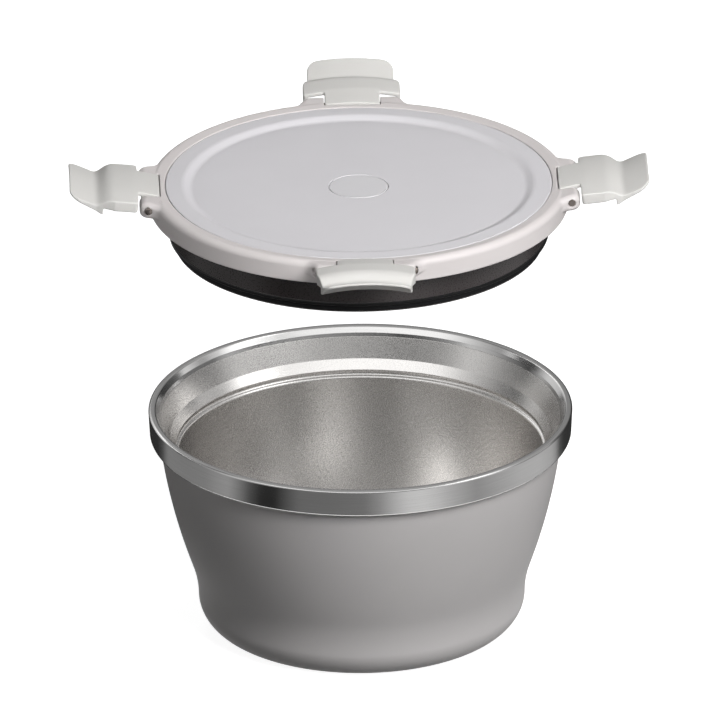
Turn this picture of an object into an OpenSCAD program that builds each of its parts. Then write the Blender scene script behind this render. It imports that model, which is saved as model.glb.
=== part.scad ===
// Insulated steel bowl with a clip-on lid.
// The base stands on z = 0, the bowl's axis is Z and the front faces -Y.
// The lid hovers level above the bowl, with its four latches swung out.

/* [Bowl] */
// Height of the bowl from the table to the top of the lip
bowl_h = 108; // [96:1:125]
// Outer radius of the steel rim band
rim_r = 100; // [85:1:120]
// How far the band stands out over the painted wall
band_over = 5; // [4.4:0.1:5.6]
// Lean of the painted wall just under the band, in degrees from upright
top_lean = 6.5; // [4:0.5:9]
// Height of the waist, where the painted wall leans most
waist_h = 35.3; // [30:0.5:42]
// Lean of the painted wall at the waist, in degrees from upright
waist_lean = 19; // [16:0.5:22]
// Height of the straight stretch under the waist
waist_run = 4; // [1:0.5:8]
// Radius of the round lower corner
base_corner_r = 14; // [10:0.5:18]
// Thickness of the steel sheet
sheet_t = 0.8; // [0.6:0.1:1.2]

/* [Rim band] */
// Height of the brushed band
band_h = 13.2; // [12:0.2:14.4]
// Radius of the lip's outer top corner
lip_round_out = 3; // [2.4:0.1:3.4]
// Radius of the lip's inner top corner
lip_round_in = 1.9; // [1.5:0.1:2.2]
// Radius of the band's lower corner
band_round = 1.6; // [1.2:0.1:2]
// How far the band draws in above its lower corner
band_draw = 0.6; // [0.2:0.1:1]
// Depth of the seam between lip and liner, below the lip's top
seam_depth = 3.4; // [3:0.1:4]

/* [Liner] */
// Depth of the step where the mouth wall ends
mouth_depth = 14; // [12:0.5:18]
// How much the mouth wall tapers in, from the lip to that step
mouth_taper = 5.3; // [4:0.1:6.5]
// Height of the sloping seat of the seal
seat_h = 4.7; // [4.4:0.1:7]
// Width of the sloping seat of the seal
seat_w = 3; // [2:0.1:4]
// Height of the groove under the seat
groove_h = 2.4; // [2:0.1:3.4]
// Depth of that groove
groove_d = 0.6; // [0.2:0.1:0.9]
// Radius of the round edge under the groove
neck_round = 1.5; // [1.3:0.1:2.4]
// How far that edge stands in from the end of the seat
neck_in = 1; // [0.4:0.1:2]
// Lean of the food space's wall at its top, in degrees
cavity_top_lean = 7; // [5:0.5:9]
// Height where the food space's wall leans most
cavity_waist_h = 41; // [38:0.5:48]
// Lean of the food space's wall there, in degrees
cavity_waist_lean = 17; // [14:0.5:18]
// Radius of the food space's lower corner
cavity_corner_r = 34; // [24:1:38]

/* [Base] */
// Width of the flat ring that the bowl stands on
base_ring_w = 6; // [4:0.5:10]
// Height of the turned-up edge that holds the base plate
hem_h = 3.6; // [3:0.1:5]
// Height of the base plate's underside above the table
plate_rise = 1.8; // [1:0.1:2]
// Radius of the dimple in the middle of the base plate
dimple_r = 8; // [5:0.5:14]
// Depth of that dimple
dimple_d = 1.4; // [1:0.1:2.4]
// Radius of the bead that seals the pump-out hole
bead_r = 2.6; // [2:0.1:3]
// Radius of the getter capsule
getter_r = 5; // [4:0.5:8]
// Thickness of the getter capsule
getter_t = 2.2; // [1.6:0.1:3]
// Distance of the getter from the bowl's axis
getter_at = 30; // [24:1:40]
// Height of the vacuum space under the food space's floor
floor_gap = 6.2; // [5:0.1:10]

/* [Lid frame] */
// How far the lid frame's wall lies inside the rim band's
frame_inset = 1.5; // [0.5:0.1:2.5]
// Height of the lid frame at its crown
frame_h = 10.6; // [10:0.1:12]
// Radius of the frame's outer shoulder
shoulder_r = 3.2; // [2:0.1:4.4]
// Thickness of the frame's outer wall
frame_wall = 2.4; // [1.8:0.1:3]
// Width of the frame's top, from the outer wall to the hole for the panel
frame_w = 7.5; // [6.5:0.1:9]
// How much the frame's top falls towards that hole
frame_fall = 0.6; // [0.2:0.1:1]
// Depth of the ledge that the panel sits on, below the frame's top there
ledge_drop = 2.4; // [2:0.1:2.8]
// Width of that ledge
ledge_w = 3.4; // [2:0.1:5]
// Thickness of the web under that ledge
web_t = 2.4; // [1.6:0.1:2.8]

/* [Lid panel] */
// Fine gap round the lid panel
panel_gap = 0.25; // [0.15:0.05:0.5]
// How far the panel's ring lies below the frame's top
panel_sink = 0.1; // [0:0.05:0.4]
// Thickness of the panel
panel_t = 2.2; // [1.6:0.1:2.4]
// Width of the panel's outer ring
ring_w = 8.5; // [6:0.5:14]
// Width of the slope inside that ring
dish_slope_w = 3.7; // [2:0.1:6]
// Depth of the dish
dish_d = 1.9; // [1:0.1:2.2]
// Radius of the rounds at the slope's top and foot
dish_round = 3; // [1:0.5:6]
// Radius of the disc in the middle of the panel
disc_r = 13.8; // [8:0.2:30]
// Thickness of that disc
disc_t = 1; // [0.6:0.1:1.4]
// Fine gap round that disc
disc_gap = 0.25; // [0.15:0.05:0.5]

/* [Lid plug and seal] */
// Clearance of the plug from the foot of the mouth wall
plug_clear = 1.6; // [1:0.1:2.2]
// Thickness of the plug's wall and floor
plug_wall = 2.2; // [1.6:0.1:3]
// Thickness of the plug's top flange
flange_t = 2; // [1.4:0.1:2.4]
// Height of the seal's top above the sloping seat, with the lid closed
seal_over = 0.4; // [0.2:0.1:1]
// Height of the seal
seal_h = 4.5; // [3.6:0.1:4.8]
// Depth of the seal's groove in the plug
seal_groove = 1.8; // [1.2:0.1:2.4]
// Clearance of the seal's lips from the sloping seat
seal_clear = 0.4; // [0.3:0.05:0.6]

/* [Hinges] */
// How far the hinge pins lie outside the frame's wall
pin_out = 0.8; // [0.4:0.1:1.4]
// Height of the hinge pins above the frame's bottom edge
pin_h = 7.2; // [7:0.1:8]
// Radius of a hinge pin
pin_r = 1.7; // [1.4:0.05:1.8]
// Wall of the ears round a hinge pin
ear_wall = 2.3; // [2:0.1:2.5]
// Wall of the latch's barrel round a hinge pin
barrel_wall = 1.4; // [1:0.1:1.6]
// Width of one ear
ear_w = 10.9; // [8:0.1:13]
// Radius of the rounds along an ear's outer edges
ear_round = 2.3; // [1.6:0.1:3]
// Radius of an ear's outer corner, seen from above
ear_corner = 5; // [3.6:0.1:6]
// Radius of the blend between an ear and the frame, seen from above
ear_blend = 8; // [5:0.5:10]

/* [Latches] */
// Width of the latch's tongue between the ears
tongue_w = 26; // [20:0.5:32]
// How far the tongue reaches behind the pin
tongue_back = 5.2; // [4.4:0.1:5.8]
// How far the tongue stands out over the ears
tongue_proud = 0.6; // [0.2:0.1:1]
// Width of the plate's shoulder on either side of the tongue
plate_side_w = 10; // [7:0.5:12]
// Clearance between the ears and the edge of the wide plate
plate_gap = 0.9; // [0.7:0.1:1.4]
// Clearance between the rim band and a closed latch's plate
plate_clear = 3.2; // [2.4:0.1:4.5]
// Thickness of the plate
plate_t = 2.2; // [1.6:0.1:2.6]
// Width of the flanges along the plate's sides
side_w = 2; // [1.4:0.1:3]
// Clearance of those flanges from the rim band
side_clear = 0.4; // [0.3:0.1:1.2]
// How far above the hook the bend starts
bend_above = 5.2; // [4:0.2:7]
// Radius of the bend
bend_r = 8; // [5:0.5:10]
// Angle of the bend
bend_lean = 38; // [32:1:42]
// Drop from the plate to the valley in front of the finger tab
valley_drop = 4.4; // [3.6:0.1:5]
// Radius of the round of that valley
valley_r = 5; // [2:0.5:6]
// How far the finger tab reaches past the hook
tab_reach = 16.3; // [13:0.5:22]
// Lean of the finger tab
tab_lean = 19; // [14:1:22]
// How much the plate narrows on each side towards the finger tab
tab_narrow = 2.5; // [0:0.5:5]
// Thickness of the finger tab at its tip
tab_t = 1.4; // [1.2:0.1:2]
// Radius of the finger tab's corners
tab_corner = 5.5; // [3:0.5:8]
// How far the hook reaches in under the rim band
hook_reach = 2.6; // [1.6:0.1:3.4]
// Width of the hook's tip
hook_t = 1.1; // [0.8:0.1:1.6]
// How far a latch stands up past level when open, in degrees
open_lean = 5.4; // [0:0.2:9]

/* [Placement] */
// Height of the lid over its closed place
lid_lift = 104.6; // [60:0.2:140]

/* [Hidden] */
$fn = 120;

// Clearances and small sizes
seat_gap = 0.3;      // between the lip and the closed lid frame
hook_gap = 0.3;      // between the band's lower edge and the hook
pin_fit = 0.02;      // round a pin in its ears
pin_play = 0.05;     // round a pin in its latch
tongue_gap = 0.4;    // round the tongue in the frame
pin_proud = 0.5;     // how far a pin's domed end stands out
pin_sunk = 1.2;      // how far its other end lies in the ear
panel_round = 0.5;   // edge of the panel
tab_round = 0.5;     // edge of the finger tab's tip
plate_corner = 1.2;  // corners of the latch plate
foam_gap = 0.2;      // round the foam in the plug
lip_t = 0.5;         // the plug's lip under the seal
lip_w = 0.4;         // how far that lip reaches out
seal_lip = 0.6;      // half height of a lip of the seal
seal_dip = 0.7;      // depth between the lips of the seal
ear_sink = 3;        // how far an ear's blend goes into the frame
over = 1;            // overrun of every cut
foot_lean = 1;       // lean of the wall above the base corner
neck_turn = 100;     // where the round edge under the groove starts
steps = 14;          // steps in a long arc
few = 6;             // steps in a short arc

// Bowl sizes that follow
band_bottom = bowl_h - band_h;
wall_r = rim_r - band_over;
inner_r = rim_r - lip_round_out - lip_round_in;
mouth_step_r = inner_r - mouth_taper;
seat_r = mouth_step_r - seat_w;
mouth_z = bowl_h - mouth_depth;
seat_z = mouth_z - seat_h;
neck_z = seat_z - groove_h - neck_round;
floor_h = plate_rise + floor_gap + 2 * sheet_t;

// Lid sizes that follow
frame_r = rim_r - frame_inset;
panel_hole_r = frame_r - frame_w;
frame_inner_h = frame_h - frame_fall;
ledge_h = frame_inner_h - ledge_drop;
web_h = ledge_h - web_t;
panel_h = frame_inner_h - panel_sink;
dish_r = panel_hole_r - ring_w;
plug_r = mouth_step_r - plug_clear;
seal_top = mouth_depth + seat_gap - seal_over;
plug_depth = seal_top + seal_h + lip_t;
lid_z = bowl_h + seat_gap + lid_lift;

// Hinge and latch sizes that follow, with heights and distances from the pin
pin_at = frame_r + pin_out;
pin_z = lid_z + pin_h;
ear_r = pin_r + ear_wall;
barrel_r = pin_r + barrel_wall;
ear_half_in = tongue_w / 2 + tongue_gap;
ear_half = ear_half_in + ear_w;
ear_c = [pin_at + ear_r - ear_corner, ear_half - ear_corner];
tongue_out = ear_r + tongue_proud;
plate_w = tongue_w + 2 * plate_side_w;
plate_start = ear_r + plate_gap;
plate_out = rim_r + plate_clear + plate_t - pin_at;
hook_at = pin_h + seat_gap + band_h + hook_gap;
bend_at = hook_at - bend_above;
tip_at = hook_at + tab_reach;
tab_w = plate_w - 2 * tab_narrow;

// Points along an arc round c, from angle a0 to a1
function arc(c, r, a0, a1, n) =
  [for (i = [0:n]) c + r * [cos(a0 + (a1 - a0) * i / n), sin(a0 + (a1 - a0) * i / n)]];

// Direction straight out of a wall that leans in by a as it goes down
function out(a) = [cos(a), -sin(a)];

// A list of points, last one first
function turned(list) = [for (i = [len(list) - 1:-1:0]) list[i]];

// Points that round off the corner b between a and c with radius r
function rounded(a, b, c, r, n) =
  let (
    u = (a - b) / norm(a - b),
    v = (c - b) / norm(c - b),
    half = acos(u * v) / 2,
    m = b + (u + v) / norm(u + v) * r / sin(half),
    p = b + u * r / tan(half) - m,
    q = b + v * r / tan(half) - m,
    turn = atan2(p.x * q.y - p.y * q.x, p * q)
  )
  arc(m, r, atan2(p.y, p.x), atan2(p.y, p.x) + turn, n);

// The painted wall's arcs
bulge_r = (band_bottom - waist_h) / (sin(waist_lean) - sin(top_lean));
bulge_c = [wall_r, band_bottom] - bulge_r * out(top_lean);
bulge_end = bulge_c + bulge_r * out(waist_lean);
waist_p = bulge_end - waist_run * [tan(waist_lean), 1];
foot_z = base_corner_r * (1 - sin(foot_lean));
waist_r = (waist_p.y - foot_z) / (sin(waist_lean) - sin(foot_lean));
waist_c = waist_p + waist_r * out(waist_lean);
foot_p = waist_c - waist_r * out(foot_lean);
corner_c = foot_p - base_corner_r * out(foot_lean);
plate_r = corner_c.x - base_ring_w;
hem_r = plate_r + sheet_t;

// The painted wall from the band down to the base, drawn in by t
function wall_line(t) = concat(
  arc(bulge_c, bulge_r - t, -top_lean, -waist_lean, steps),
  arc(waist_c, waist_r + t, 180 - waist_lean, 180 - foot_lean, steps),
  arc(corner_c, base_corner_r - t, -foot_lean, -90, steps)
);

// The food space's arcs
cavity_p = [seat_r - neck_in, neck_z];
neck_c = cavity_p + neck_round * out(cavity_top_lean);
cavity_bulge_r = (neck_z - cavity_waist_h) / (sin(cavity_waist_lean) - sin(cavity_top_lean));
cavity_c = cavity_p - cavity_bulge_r * out(cavity_top_lean);
cavity_end = cavity_c + cavity_bulge_r * out(cavity_waist_lean);
cavity_corner_z = floor_h + cavity_corner_r;
cavity_run = cavity_end.y - cavity_corner_z + cavity_corner_r * sin(cavity_waist_lean);
cavity_low = cavity_end - cavity_run * [tan(cavity_waist_lean), 1];
cavity_corner_c = cavity_low - cavity_corner_r * out(cavity_waist_lean);

// The food space from its neck down to the middle of its floor, let out by t
function cavity_line(t) = concat(
  arc(neck_c, neck_round - t, neck_turn, 180 - cavity_top_lean, few),
  arc(cavity_c, cavity_bulge_r + t, -cavity_top_lean, -cavity_waist_lean, steps),
  arc(cavity_corner_c, cavity_corner_r + t, -cavity_waist_lean, -90, steps),
  [[0, floor_h - t]]
);

// The liner's mouth from the seam down to its neck, let out by t
function mouth_line(t) = [
  [inner_r + t, bowl_h - seam_depth],
  [mouth_step_r + t, mouth_z],
  [seat_r + t, seat_z],
  [seat_r + groove_d + t, seat_z - groove_d],
  [seat_r + groove_d + t, seat_z - groove_h + groove_d]
];

// The rim's outside from the hem up, over the lip and down to the seam, drawn in by t
function rim_line(t) = concat(
  [[wall_r, band_bottom + t]],
  arc([rim_r - band_draw - band_round, band_bottom + band_round], band_round - t, -90, 0, few),
  arc([rim_r - lip_round_out, bowl_h - lip_round_out], lip_round_out - t, 0, 90, few),
  arc([rim_r - lip_round_out, bowl_h - lip_round_in], lip_round_in - t, 90, 180, few),
  [[inner_r + t, bowl_h - seam_depth]]
);

// Painted outer shell with its turned-in base and the edge that holds the base plate
module outer_shell() {
  color([0.55, 0.55, 0.55])
  rotate_extrude()
  polygon(concat(
    [[wall_r, band_bottom + band_h / 3]],
    wall_line(0),
    [[plate_r, 0], [plate_r, hem_h], [hem_r, hem_h], [hem_r, sheet_t]],
    turned(wall_line(sheet_t)),
    [[wall_r - sheet_t, band_bottom + band_h / 3]]
  ));
}

// Steel liner: mouth wall, seat of the seal, groove and food space
module inner_liner() {
  color([0.68, 0.67, 0.66])
  rotate_extrude()
  polygon(concat(
    mouth_line(0),
    cavity_line(0),
    turned(cavity_line(sheet_t)),
    turned(mouth_line(sheet_t))
  ));
}

// Brushed band: a folded sheet over the lip, with its hem on the painted shell
module rim_band() {
  color([0.62, 0.62, 0.62])
  rotate_extrude()
  polygon(concat(rim_line(0), turned(rim_line(sheet_t))));
}

// Base plate, pressed into the shell, with the dimple of the pump-out hole
module base_plate() {
  color([0.45, 0.45, 0.45])
  rotate_extrude()
  polygon([
    [0, plate_rise + dimple_d],
    [dimple_r, plate_rise + dimple_d],
    [dimple_r + dimple_d, plate_rise],
    [plate_r, plate_rise],
    [plate_r, plate_rise + sheet_t],
    [dimple_r + dimple_d, plate_rise + sheet_t],
    [dimple_r, plate_rise + dimple_d + sheet_t],
    [0, plate_rise + dimple_d + sheet_t]
  ]);
}

// Getter capsule, which keeps the vacuum, on the base plate
module getter() {
  color([0.8, 0.8, 0.82])
  translate([getter_at, 0, plate_rise + sheet_t])
  cylinder(r = getter_r, h = getter_t);
}

// Bead that seals the pump-out hole, in the dimple
module vacuum_seal_bead() {
  color([0.5, 0.5, 0.52])
  translate([0, 0, plate_rise + dimple_d - bead_r / 3])
  cylinder(r = bead_r, h = bead_r / 3);
}

// Section of the lid frame's ring
module frame_section() {
  polygon(concat(
    [[frame_r - frame_wall, 0], [frame_r, 0]],
    arc([frame_r - shoulder_r, frame_h - shoulder_r], shoulder_r, 0, 90, few),
    [
      [panel_hole_r, frame_inner_h],
      [panel_hole_r, ledge_h],
      [panel_hole_r - ledge_w, ledge_h],
      [panel_hole_r - ledge_w, web_h],
      [frame_r - frame_wall, web_h]
    ]
  ));
}

// One ear's side view, round the pin and back into the frame
module ear_section() {
  reach = ear_r - ear_round;
  polygon(concat(
    [[panel_hole_r, pin_h - ear_r]],
    arc([pin_at + reach, pin_h - reach], ear_round, -90, 0, few),
    arc([pin_at + reach, pin_h + reach], ear_round, 0, 90, few),
    [[panel_hole_r, frame_inner_h]]
  ));
}

// One ear seen from above, with its outer corner rounded
module ear_plan() {
  polygon(concat(
    [[panel_hole_r, ear_half_in], [pin_at + ear_r, ear_half_in]],
    arc(ear_c, ear_corner, 0, 90, few),
    [[panel_hole_r, ear_half]]
  ));
}

// Blend between an ear's corner and the frame's wall, seen from above
module ear_blend_plan() {
  reach = frame_r + ear_blend;
  touch = ear_corner + ear_blend;
  a = atan2(ear_c.y, ear_c.x)
    + acos((reach * reach + ear_c * ear_c - touch * touch) / (2 * reach * norm(ear_c)));
  m = reach * [cos(a), sin(a)];
  polygon(concat(
    [(frame_r - ear_sink) / norm(ear_c) * ear_c, ear_c],
    arc(m, ear_blend, 180 + atan2(m.y - ear_c.y, m.x - ear_c.x), 180 + a, few),
    [(frame_r - ear_sink) * [cos(a), sin(a)]]
  ));
}

// Both ears of one hinge, with the solid floor under them
module hinge_ears() {
  for (side = [0, 1])
    mirror([0, side, 0]) {
      intersection() {
        rotate([90, 0, 0])
        linear_extrude(2 * (ear_half + over), center = true)
        ear_section();
        linear_extrude(frame_h + ear_r)
        ear_plan();
      }
      translate([0, 0, pin_h - ear_r])
      linear_extrude(frame_h - shoulder_r / 2 - pin_h + ear_r)
      ear_blend_plan();
    }
  intersection() {
    rotate_extrude()
    translate([panel_hole_r, flange_t])
    square([frame_w - frame_wall, web_h - flange_t]);
    translate([0, -ear_half, 0])
    cube([frame_r, 2 * ear_half, web_h]);
  }
}

// Room for one latch's tongue and barrel, and the bore of its pin
module hinge_cuts() {
  notch_in = pin_at - tongue_back * cos(open_lean) - tongue_out * sin(open_lean) - tongue_gap;
  floor_z = pin_h - barrel_r - tongue_gap;
  translate([notch_in, -ear_half_in, floor_z])
  cube([frame_r, 2 * ear_half_in, frame_h + ear_r]);
  translate([pin_at, 0, pin_h])
  rotate([90, 0, 0])
  cylinder(r = pin_r + pin_fit, h = 2 * (ear_half + ear_corner), center = true);
}

// Moulded ring of the lid with its four hinges
module lid_frame() {
  color([0.8, 0.78, 0.78])
  translate([0, 0, lid_z])
  difference() {
    union() {
      rotate_extrude()
      frame_section();
      for (turn = [0:90:270])
        rotate([0, 0, turn])
        hinge_ears();
    }
    for (turn = [0:90:270])
      rotate([0, 0, turn])
      hinge_cuts();
  }
}

// Panel in the middle of the lid, dished, with a recess for the disc
module lid_panel() {
  r = panel_hole_r - panel_gap;
  low = panel_h - dish_d;
  foot = [dish_r - dish_slope_w, low];
  crest = [dish_r, panel_h];
  color([0.78, 0.77, 0.79])
  translate([0, 0, lid_z])
  rotate_extrude()
  polygon(concat(
    [
      [0, low - disc_t],
      [disc_r + disc_gap, low - disc_t],
      [disc_r + disc_gap, low]
    ],
    rounded([0, low], foot, crest, dish_round, few),
    rounded(foot, crest, [r, panel_h], dish_round, few),
    [
      [r - panel_round, panel_h],
      [r, panel_h - panel_round],
      [r, ledge_h],
      [dish_r, ledge_h],
      [dish_r - dish_slope_w, low - panel_t],
      [0, low - panel_t]
    ]
  ));
}

// Disc in the middle of the panel
module centre_disc() {
  color([0.79, 0.78, 0.8])
  translate([0, 0, lid_z + panel_h - dish_d - disc_t])
  cylinder(r = disc_r, h = disc_t);
}

// Dark plug: a cup with a flange under the frame and a groove for the seal
module lid_plug() {
  groove_r = plug_r - seal_groove;
  color([0.3, 0.28, 0.27])
  translate([0, 0, lid_z])
  rotate_extrude()
  polygon([
    [0, -plug_depth],
    [groove_r + lip_w - lip_t, -plug_depth],
    [groove_r + lip_w, -plug_depth + lip_t],
    [groove_r, -seal_top - seal_h],
    [groove_r, -seal_top],
    [plug_r, -seal_top],
    [plug_r, 0],
    [frame_r - frame_wall, 0],
    [frame_r - frame_wall, flange_t],
    [plug_r, flange_t],
    [plug_r, web_h],
    [groove_r - plug_wall, web_h],
    [groove_r - plug_wall, -plug_depth + plug_wall],
    [0, -plug_depth + plug_wall]
  ]);
}

// Foam that fills the lid between plug and panel
module lid_foam() {
  foam_r = plug_r - seal_groove - plug_wall - foam_gap;
  bottom = -plug_depth + plug_wall;
  top = panel_h - dish_d - panel_t - foam_gap;
  color([0.92, 0.9, 0.82])
  translate([0, 0, lid_z])
  rotate_extrude()
  polygon([[0, bottom], [foam_r, bottom], [foam_r, web_h], [foam_r - ledge_w, top], [0, top]]);
}

// Radius of the sloping seat at a depth below the frame's bottom edge, with the lid closed
function seat_r_at(d) = mouth_step_r
  - (d - seat_gap - mouth_depth) * seat_w / seat_h;

// Silicone seal with two lips that follow the sloping seat
module lid_seal() {
  inner = plug_r - seal_groove;
  upper = seal_top + seal_lip;
  lower = seal_top + seal_h - seal_lip;
  middle = (upper + lower) / 2;
  color([0.06, 0.06, 0.06])
  translate([0, 0, lid_z])
  rotate_extrude()
  polygon(concat(
    [[inner, -seal_top]],
    arc([seat_r_at(upper) - seal_clear - seal_lip, -upper], seal_lip, 90, -50, few),
    [[seat_r_at(middle) - seal_clear - seal_dip, -middle]],
    arc([seat_r_at(lower) - seal_clear - seal_lip, -lower], seal_lip, 50, -90, few),
    [[inner, -seal_top - seal_h]]
  ));
}

// Steel pin through both ears, domed at one end, sunk at the other
module hinge_pin(turn) {
  color([0.7, 0.7, 0.72])
  rotate([0, 0, turn])
  translate([pin_at, 0, pin_z])
  rotate([-90, 0, 0])
  rotate_extrude()
  polygon([
    [0, pin_sunk - ear_half],
    [pin_r, pin_sunk - ear_half],
    [pin_r, ear_half],
    [pin_r * cos(45), ear_half + pin_proud * sin(45)],
    [0, ear_half + pin_proud]
  ]);
}

// Section of a closed latch, as radius and height from its pin
module latch_section() {
  plate_r_out = pin_at + plate_out;
  plate_r_in = plate_r_out - plate_t;
  bend_c = [plate_r_out - bend_r, -bend_at];
  bend_end = bend_c + bend_r * out(bend_lean);
  valley = bend_end - (valley_drop - plate_r_out + bend_end.x) * [1, 1 / tan(bend_lean)];
  tip = [valley.x + (tip_at + valley.y) * tan(tab_lean), -tip_at];
  hook_r = rim_r - hook_reach;
  polygon(concat(
    [
      [pin_at + tongue_out - plate_t, tongue_back],
      [pin_at + tongue_out, tongue_back],
      [plate_r_out, -plate_start - plate_t]
    ],
    arc(bend_c, bend_r, 0, -bend_lean, few),
    rounded(bend_end, valley, tip, valley_r, few),
    [tip + tab_round * [-tan(tab_lean), 1], tip - [tab_round, 0]],
    [tip - [tab_t - tab_round, 0], tip + [-tab_t, tab_round]],
    [[hook_r, -hook_at - hook_t], [hook_r, -hook_at]],
    [[bend_end.x - plate_t, -hook_at]],
    [[plate_r_in, -bend_at - plate_t / 2]],
    [[plate_r_in, -plate_start]]
  ));
}

// Half outline of a closed latch, seen from the front, drawn in by t
function latch_edge(t) = concat(
  [[tongue_w / 2, tongue_back], [tongue_w / 2, -plate_start]],
  arc([plate_w / 2 - t - plate_corner, -plate_start - plate_corner], plate_corner, 90, 0, few),
  [[plate_w / 2 - t, -bend_at]],
  [[tab_w / 2 - t, -hook_at - hook_t - plate_t]],
  arc([tab_w / 2 - t - tab_corner, tab_corner - tip_at], tab_corner, 0, -90, few)
);

// Both halves of that outline
module latch_outline(t) {
  right = latch_edge(t);
  polygon(concat(right, turned([for (p = right) [-p.x, p.y]])));
}

// Bar through the outline of a latch, along the radius
module latch_prism(t) {
  translate([pin_at - 2 * ear_r, 0, 0])
  rotate([90, 0, 90])
  linear_extrude(5 * ear_r)
  latch_outline(t);
}

// One latch, closed, with its pin at height 0
module latch_closed() {
  difference() {
    union() {
      intersection() {
        rotate_extrude()
        latch_section();
        latch_prism(0);
      }
      intersection() {
        rotate_extrude()
        polygon([
          [rim_r + side_clear, -plate_start],
          [pin_at + plate_out - plate_t / 2, -plate_start],
          [pin_at + plate_out - plate_t / 2, -bend_at],
          [pin_at + plate_out - 3 / 2 * plate_t, -hook_at - hook_t / 2],
          [rim_r + side_clear, -hook_at - hook_t / 2]
        ]);
        difference() {
          latch_prism(0);
          translate([0, 0, plate_corner])
          latch_prism(side_w);
        }
      }
      translate([pin_at, 0, 0])
      rotate([90, 0, 0])
      cylinder(r = barrel_r, h = tongue_w, center = true);
      translate([pin_at, -tongue_w / 2, -barrel_r])
      cube([tongue_out - plate_t / 2, tongue_w, 2 * barrel_r]);
    }
    translate([pin_at, 0, 0])
    rotate([90, 0, 0])
    cylinder(r = pin_r + pin_play, h = tongue_w + 2 * over, center = true);
  }
}

// One latch, swung out
module latch(turn) {
  color([0.79, 0.78, 0.77])
  rotate([0, 0, turn])
  translate([pin_at, 0, pin_z])
  rotate([0, -90 - open_lean, 0])
  translate([-pin_at, 0, 0])
  latch_closed();
}

outer_shell();
inner_liner();
rim_band();
base_plate();
getter();
vacuum_seal_bead();
lid_frame();
lid_panel();
centre_disc();
lid_plug();
lid_foam();
lid_seal();
hinge_pin(0);  // hinge_pin_right
hinge_pin(90);  // hinge_pin_back
hinge_pin(180);  // hinge_pin_left
hinge_pin(270);  // hinge_pin_front
latch(0);  // latch_right
latch(90);  // latch_back
latch(180);  // latch_left
latch(270);  // latch_front
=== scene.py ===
# Looks of an insulated steel bowl with a clip-on lid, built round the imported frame.
# Lengths are in millimetres up to the functions that make meshes, which turn them into metres.
import math

import bmesh
import bpy
import numpy as np
from mathutils import Matrix, Vector

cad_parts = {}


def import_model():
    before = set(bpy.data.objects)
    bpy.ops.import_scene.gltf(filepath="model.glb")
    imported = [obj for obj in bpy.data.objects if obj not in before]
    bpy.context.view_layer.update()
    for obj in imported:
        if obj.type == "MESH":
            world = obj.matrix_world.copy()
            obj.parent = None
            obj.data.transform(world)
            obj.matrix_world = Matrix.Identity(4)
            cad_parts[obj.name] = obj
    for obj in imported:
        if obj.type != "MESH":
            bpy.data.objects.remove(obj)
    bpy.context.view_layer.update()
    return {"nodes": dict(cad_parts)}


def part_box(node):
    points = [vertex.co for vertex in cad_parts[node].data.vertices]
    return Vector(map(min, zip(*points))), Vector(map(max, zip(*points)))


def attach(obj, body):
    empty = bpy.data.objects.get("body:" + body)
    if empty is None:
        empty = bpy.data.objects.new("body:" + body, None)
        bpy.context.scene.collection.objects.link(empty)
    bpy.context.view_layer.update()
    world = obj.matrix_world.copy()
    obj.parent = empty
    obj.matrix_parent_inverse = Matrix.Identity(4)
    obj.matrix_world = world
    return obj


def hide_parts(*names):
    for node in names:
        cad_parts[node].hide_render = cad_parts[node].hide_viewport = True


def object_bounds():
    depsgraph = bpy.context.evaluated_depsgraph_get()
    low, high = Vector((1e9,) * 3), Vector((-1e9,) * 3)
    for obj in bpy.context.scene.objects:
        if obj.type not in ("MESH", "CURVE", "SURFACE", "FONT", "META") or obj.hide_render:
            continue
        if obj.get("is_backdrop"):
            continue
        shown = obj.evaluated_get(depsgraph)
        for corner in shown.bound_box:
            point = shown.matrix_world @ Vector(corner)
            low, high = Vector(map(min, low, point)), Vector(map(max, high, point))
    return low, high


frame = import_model()

MM = 0.001

# Places that the frame gives
rim_low, rim_high = [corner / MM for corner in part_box("rim_band")]
bowl_h = rim_high.z
rim_r = rim_high.x
band_bottom = rim_low.z
lid_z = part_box("lid_frame")[0].z / MM
plug_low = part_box("lid_plug")[0].z / MM - lid_z

# Names and sizes as in the CAD source, apart from the lip's slope, its seam and a few softer rounds.

# Bowl
band_over = 5
top_lean, waist_h, waist_lean, waist_run = 6.5, 35.3, 19, 4
base_corner_r, foot_lean, base_ring_w = 14, 1, 6
sheet_t = 0.8
lip_round_out, lip_round_in, band_round, band_draw, seam_depth = 3, 1.9, 1.6, 0.6, 4.4
lip_edge, lip_lean, lip_drop, lip_foot_in = 1.2, 55, 2.7, 0.2
mouth_depth, mouth_taper, seat_h, seat_w = 14, 5.3, 4.7, 3
groove_h, groove_d, neck_round, neck_in, neck_turn = 2.4, 0.6, 1.5, 1, 100
cavity_top_lean, cavity_waist_h, cavity_waist_lean, cavity_corner_r = 7, 41, 17, 34
shell_lap, hem_h, hem_run, hem_round = 4, 3.6, 3, 0.9
plate_rise, dimple_r, dimple_d, floor_gap = 1.8, 8, 1.4, 6.2
bead_r, bead_round, getter_r, getter_t, getter_at = 2.6, 0.4, 5, 2.2, 30

# Lid
frame_inset, frame_h, shoulder_r, frame_wall, frame_w = 1.5, 10.6, 3.2, 2.4, 7.5
frame_fall, ledge_drop, ledge_w, web_t = 0.6, 2.4, 3.4, 2.4
panel_gap, panel_sink, panel_t, ring_w, dish_slope_w, dish_d = 0.25, 0.1, 2.2, 8.5, 3.7, 1.9
dish_round, panel_round = 4, 0.5
disc_r, disc_t, disc_gap = 13.8, 1, 0.25
plug_clear, plug_wall, flange_t, seal_groove = 1.6, 2.2, 2, 1.8
seat_gap, seal_over, seal_h, seal_clear, seal_lip = 0.3, 0.4, 4.5, 0.4, 0.6
ridge_r, ridge_in, lip_t, lip_w = 1, 0.9, 0.5, 0.4

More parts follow.
